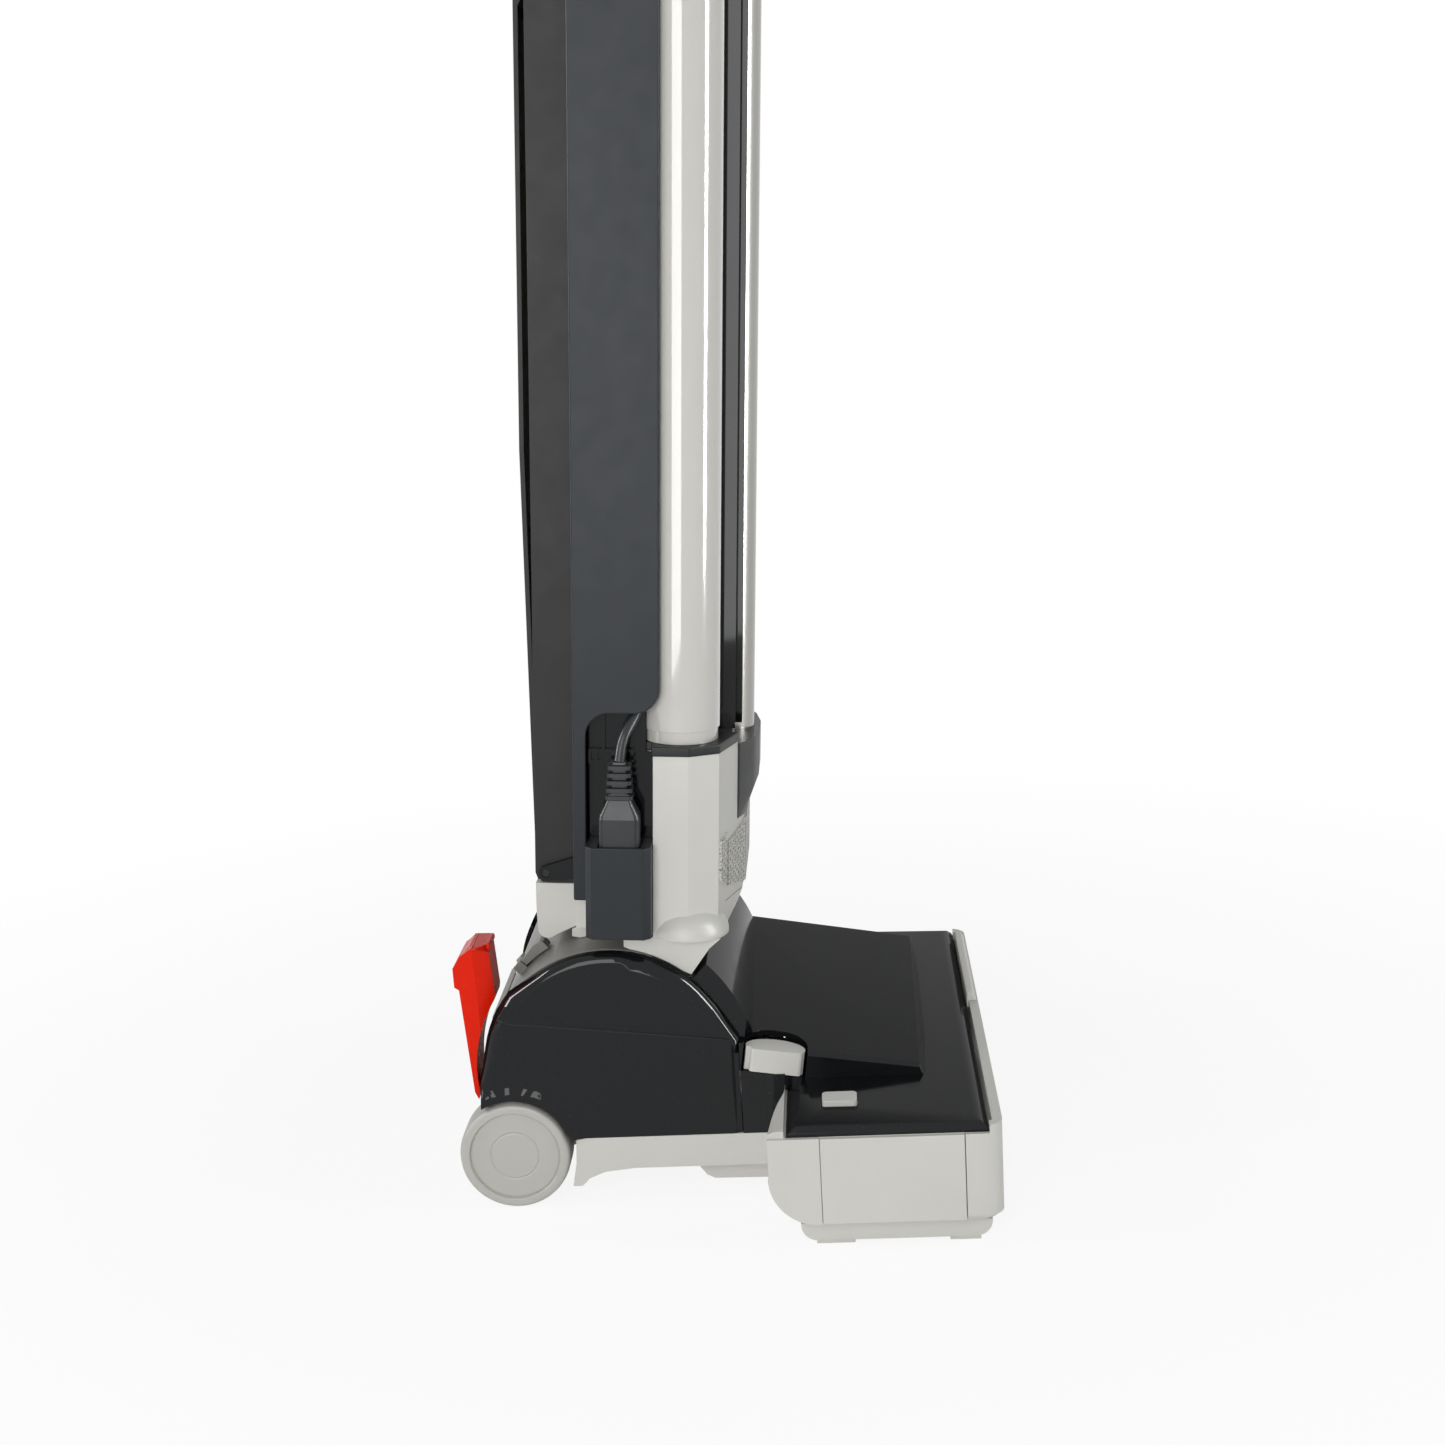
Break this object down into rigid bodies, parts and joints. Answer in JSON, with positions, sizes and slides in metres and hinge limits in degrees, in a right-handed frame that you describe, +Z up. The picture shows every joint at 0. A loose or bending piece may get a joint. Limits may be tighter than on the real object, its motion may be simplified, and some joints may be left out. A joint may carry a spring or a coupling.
{
  "type": "upright vacuum cleaner",
  "caption": "Upright vacuum cleaner with a wheeled brush head, reclining column, stowed wand and hose, plug-in mains cord wound as a hank on the handle.",
  "frame": {"origin": "on the floor, under the middle of the machine without its cord", "axes": "-Y is the front, +Z is up, -X is the side with the mains socket"},
  "size_m": [0.358, 0.3352, 1.2141],
  "materials": {
    "light_gray_plastic": "satin light grey moulding",
    "mid_gray_plastic": "satin mid grey moulding",
    "gloss_black_plastic": "glossy blue-black moulding",
    "slate_plastic": "satin slate moulding",
    "door_plastic": "matte greenish-black moulding",
    "gloss_gray_plastic": "glossy light grey tube",
    "red_plastic": "orange-red pedal plastic",
    "wheel_plastic": "light grey wheel plastic",
    "chrome": "chromed tube",
    "steel": "plain steel",
    "aluminium": "cast aluminium casing",
    "black_rubber": "black rubber",
    "cord_rubber": "black cord sheath",
    "bristle": "dark nylon bristles",
    "filter_fleece": "white filter fleece",
    "bag_paper": "paper dust bag"
  },
  "bodies": {
    "head": {"base_pan": "light_gray_plastic", "front_bumper": "light_gray_plastic", "front_insert": "light_gray_plastic", "sole_plate": "light_gray_plastic", "sole_feet": "light_gray_plastic", "hood": "gloss_black_plastic", "dome_near": "gloss_black_plastic", "dome_far": "gloss_black_plastic", "end_panel_far": "light_gray_plastic", "brush_bearings": "slate_plastic", "drive_belt": "black_rubber", "pivot_brackets": "steel", "motor": "aluminium", "rear_axle": "steel", "pedal_pin": "steel", "pedal_spring": "steel", "head_screws": "steel"},
    "brush": {"brush_core": "mid_gray_plastic", "brush_bristles": "bristle", "brush_pulley": "steel"},
    "rotor": {"motor_shaft": "steel", "motor_pulley": "steel", "fan": "mid_gray_plastic"},
    "wheel_near": {"wheel_near": "wheel_plastic"},
    "wheel_far": {"wheel_far": "wheel_plastic"},
    "pedal": {"recline_pedal": "red_plastic"},
    "knob": {"height_knob": "light_gray_plastic"},
    "button": {"release_button": "light_gray_plastic"},
    "near_panel": {"end_panel_near": "light_gray_plastic"},
    "column": {"pivot_drum": "mid_gray_plastic", "column_foot": "light_gray_plastic", "filter_housing": "light_gray_plastic", "exhaust_filter": "filter_fleece", "gasket_plate": "black_rubber", "spine": "gloss_black_plastic", "side_cover_near": "slate_plastic", "side_cover_far": "slate_plastic", "dust_bag": "bag_paper", "rear_cap": "light_gray_plastic", "suction_tube": "gloss_gray_plastic", "wand_holder": "black_rubber", "hose": "black_rubber", "hose_cuffs": "slate_plastic", "socket_box": "slate_plastic", "inlet_pins": "steel", "cord_connector": "cord_rubber", "cord_stretch": "cord_rubber", "cord_hank": "cord_rubber", "mains_plug": "cord_rubber", "top_housing": "slate_plastic", "handle_tube": "slate_plastic", "handle_grip": "slate_plastic", "hook_lower": "slate_plastic"},
    "lock": {"lock_lever": "mid_gray_plastic"},
    "grille": {"vent_grille": "light_gray_plastic"},
    "door": {"bag_door": "door_plastic"},
    "latch": {"door_latch": "light_gray_plastic"},
    "wand": {"wand": "chrome"},
    "switch": {"power_switch": "red_plastic"},
    "upper_hook": {"hook_upper": "slate_plastic"}
  },
  "joints": [
    {"name": "column_recline", "type": "hinge", "parent": "head", "child": "column", "pos_m": [0, 0.06935, 0.089], "axis": [-1, 0, 0], "range_deg": [0, 34]},
    {"name": "brush_spin", "type": "hinge", "parent": "head", "child": "brush", "pos_m": [0, -0.10565, 0.034], "axis": [1, 0, 0], "continuous": true},
    {"name": "motor_spin", "type": "hinge", "parent": "head", "child": "rotor", "pos_m": [0, 0.06935, 0.089], "axis": [1, 0, 0], "continuous": true},
    {"name": "wheel_near_spin", "type": "hinge", "parent": "head", "child": "wheel_near", "pos_m": [-0.093, 0.13265, 0.035], "axis": [1, 0, 0], "continuous": true},
    {"name": "wheel_far_spin", "type": "hinge", "parent": "head", "child": "wheel_far", "pos_m": [0.093, 0.13265, 0.035], "axis": [1, 0, 0], "continuous": true},
    {"name": "pedal_press", "type": "hinge", "parent": "head", "child": "pedal", "pos_m": [-0.073, 0.14435, 0.057], "axis": [-1, 0, 0], "range_deg": [0, 14], "stiffness_Nm_per_rad": 1, "springref_deg": -8.59},
    {"name": "height_turn", "type": "hinge", "parent": "head", "child": "knob", "pos_m": [-0.098, -0.03274, 0.08953], "axis": [0, -0.1478, 0.989], "range_deg": [0, 120]},
    {"name": "button_press", "type": "slide", "parent": "head", "child": "button", "axis": [0, 0, -1], "range_m": [0, 0.003], "stiffness_N_per_m": 200, "springref_m": -0.003},
    {"name": "panel_pull", "type": "slide", "parent": "head", "child": "near_panel", "axis": [-1, 0, 0], "range_m": [0, 0.03]},
    {"name": "lock_swing", "type": "hinge", "parent": "column", "child": "lock", "pos_m": [-0.056, 0.1267, 0.14535], "axis": [-1, 0, 0], "range_deg": [0, 8], "stiffness_Nm_per_rad": 0.02, "springref_deg": -11.46},
    {"name": "grille_pull", "type": "slide", "parent": "column", "child": "grille", "axis": [0, -0.9981, -0.061], "range_m": [0, 0.025]},
    {"name": "door_swing", "type": "hinge", "parent": "column", "child": "door", "pos_m": [0, 0.10516, 0.20791], "axis": [-1, 0, 0], "range_deg": [0, 80]},
    {"name": "latch_slide", "type": "slide", "parent": "door", "child": "latch", "axis": [0, 0.061, -0.9981], "range_m": [0, 0.003], "stiffness_N_per_m": 150, "springref_m": -0.003},
    {"name": "wand_lift", "type": "slide", "parent": "column", "child": "wand", "axis": [0, -0.061, 0.9981], "range_m": [0, 0.25]},
    {"name": "switch_rock", "type": "hinge", "parent": "column", "child": "switch", "pos_m": [0, 0.01346, 1.11751], "axis": [1, 0, 0], "range_deg": [0, 12]},
    {"name": "hook_turn", "type": "hinge", "parent": "column", "child": "upper_hook", "pos_m": [0, 0.07185, 1.03091], "axis": [0, 0.9981, 0.061], "range_deg": [0, 180]}
  ],
  "couplings": [
    {"joint": "motor_spin", "follows": "brush_spin", "ratio": 1.25}
  ]
}
